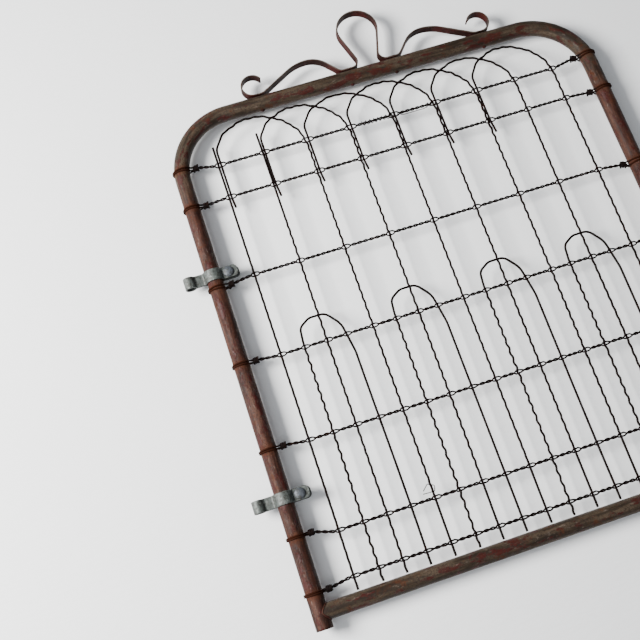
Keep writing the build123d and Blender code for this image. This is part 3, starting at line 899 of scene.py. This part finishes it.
def ring_angle(offset, bend, ring):
    """Angle at which a bend leaves a ring to run straight this far off its centre."""
    return np.arcsin((offset + bend) / (ring + bend))


def strap_path():
    """The strap's mid line from above: front flange, band, neck, eye and back again."""
    flange = ring_angle(flange_y, fold_bend, band_radius)
    band = ring_angle(neck_y, nip_bend, band_radius)
    eye = ring_angle(neck_y, nip_bend, eye_radius)
    fold_x = (band_radius + fold_bend) * np.cos(flange)
    neck = left_x - eye_x - (band_radius + nip_bend) * np.cos(band) - (eye_radius + nip_bend) * np.cos(eye)
    flange, band, eye = np.degrees([flange, band, eye])
    half = [(fold_bend, 90 - flange), (band_radius, flange + band - 180), (nip_bend, 90 - band), (neck, 0)]
    round_eye = [(nip_bend, 90 - eye), (eye_radius, 2 * eye - 360), (nip_bend, 90 - eye)]
    moves = [(flange_reach - fold_x, 0)] + half + round_eye + half[::-1]
    moves.append((flange_reach + flange_extra - fold_x, 0))
    flat = bend_bar((left_x + flange_reach, -flange_y), 180, moves, 0.0006)
    return np.concatenate([flat, np.zeros((len(flat), 1))], 1)


def strap(level):
    """The strap: its section narrows near each end as a quarter circle, h - r + sqrt(r^2 -
    (r - s)^2), so the flange corners are round."""
    path = even(strap_path(), 0.0007) + (0, 0, level)
    s = run_length(path)
    inward = np.minimum(s, s[-1] - s)
    back = flange_corner - np.clip(inward, 0.0002, flange_corner)
    lost = flange_corner - np.sqrt(flange_corner**2 - back**2)
    u, v = flat_section(len(path), strap_thick, strap_width, 0.0009)
    v = v * (1 - lost / (strap_width / 2) - np.abs(wander(len(path), 12, 0.012)))[:, None]
    u = u * (1 - np.abs(wander(len(path), 5, 0.05)))[:, None]
    return carry(path, (0, 0, 1), u, v)


def turned(x, level, y, r, sides=48):
    """A shape turned about an axis along Y: radius r at each place y."""
    y, r = np.array(y, float), np.array(r, float)
    a = np.linspace(0, 2 * np.pi, sides, endpoint=False)[None, :]
    r = r if r.ndim == 2 else r[:, None] + 0 * a
    grid = np.stack([x + r * np.cos(a), y[:, None] + 0 * r, level + r * np.sin(a)], -1)
    return grid, np.stack([y[:, None] + 0 * r, r, 0 * r], -1)


def galvanised(name, dark, light, blotch):
    """Hot-dip zinc gone dull: a spangle of slightly different greys, pale bloom and brown
    grime. blotch is how strong the bloom is."""
    zinc = Finish(name)
    place = zinc.place()
    inputs = {"Vector": place, "Scale": 260.0}
    spangle = zinc.node("ShaderNodeTexVoronoi", {"feature": "F1"}, inputs, "Color")
    facet = zinc.split(spangle, 0)
    clouds = zinc.noise(place, 90.0, 6.0, 0.65)
    grain = zinc.noise(place, 700.0, 4.0, 0.6)
    runs = zinc.noise(place, 240.0, 6.0, 0.7)
    base = zinc.blend(dark, light, facet * 0.35 + clouds * 0.65)
    base = zinc.blend(base, (0.22, 0.245, 0.23), zinc.step(clouds, 0.52, 0.66) * blotch)
    base = zinc.blend(base, (0.014, 0.012, 0.008), zinc.step(runs * 0.6 + clouds * 0.4, 0.47, 0.58) * 0.8)
    base = zinc.blend(base, (0.035, 0.037, 0.034), (1 - zinc.step(grain, 0.3, 0.45)) * 0.5)
    gloss = 0.4 + clouds * 0.25 + (grain - 0.5) * 0.25
    return zinc.lay(base, gloss, 0.35, grain * 0.4 + runs * 0.4 + facet * 0.1, 0.0006)


strap_finish = galvanised("galvanised", (0.024, 0.028, 0.026), (0.1, 0.113, 0.105), 0.6)
bolt_finish = galvanised("galvanised_bolt", (0.032, 0.036, 0.044), (0.085, 0.097, 0.115), 0.25)
flange_face = flange_y + strap_thick / 2
for place in ("upper", "lower"):
    strap_low, strap_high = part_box(f"{place}_hinge_strap")
    bolt_low, bolt_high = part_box(f"{place}_hinge_bolt")
    nut_low, nut_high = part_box(f"{place}_hinge_nut")
    level = (strap_low.z + strap_high.z) / 2
    body = f"{place}_hinge"
    folded = skin(f"{place}_hinge_strap_iron", strap(level))
    fit(folded, body, strap_finish, "galvanised", f"{place}_hinge_strap")

    # carriage bolt: a dome with a thin rim, a plain shank and a rolled thread at the tip
    head_radius = (bolt_high.z - bolt_low.z) / 2
    t = np.linspace(0.03, 1, 16)
    dome_y = bolt_low.y + (-flange_face - 0.0008 - bolt_low.y) * (1 - np.sqrt(1 - t**2))
    tip_y = np.linspace(0, bolt_high.y - 0.001, 150)
    a = np.linspace(0, 2 * np.pi, 48, endpoint=False)[None, :]
    saw = (tip_y[:, None] / thread_pitch + a / (2 * np.pi)) % 1
    threads = bolt_shank - thread_depth * (1 - np.abs(2 * saw - 1)) - 0.0001
    y = np.concatenate([dome_y, [-flange_face, -flange_face, -0.0002], tip_y, [bolt_high.y]])
    rim = np.concatenate([head_radius * t, [head_radius, bolt_shank, bolt_shank]])[:, None] + 0 * a
    r = np.concatenate([rim, threads, np.full((1, 48), bolt_shank - 0.0012)])
    bolt = skin(f"{place}_hinge_bolt_steel", turned(bolt_x, level, y, r))
    fit(bolt, body, bolt_finish, "galvanised_bolt", f"{place}_hinge_bolt")

    # nut: flats at f / cos of the angle from each flat's middle, corners turned down
    flat_half = (nut_high.z - nut_low.z) / 2
    corner = (nut_high.x - nut_low.x) / 2
    a = np.linspace(0, 2 * np.pi, 72, endpoint=False)[None, :]
    hexagon = flat_half / np.cos((a + np.pi / 6) % (np.pi / 3) - np.pi / 6)
    depth = np.concatenate([[0, 0], np.linspace(0, 1, 14), [1, 1]])
    from_face = np.minimum(depth, 1 - depth) * (nut_high.y - nut_low.y)
    turned_down = corner - 0.0009 + 1.2 * from_face[:, None]
    r = np.minimum(hexagon, turned_down)
    r[0] = r[-1] = bolt_shank - 0.0003
    y = nut_low.y + depth * (nut_high.y - nut_low.y)
    nut = skin(f"{place}_hinge_nut_steel", turned(bolt_x, level, y, r, 72))
    fit(nut, body, bolt_finish, "galvanised_bolt", f"{place}_hinge_nut")
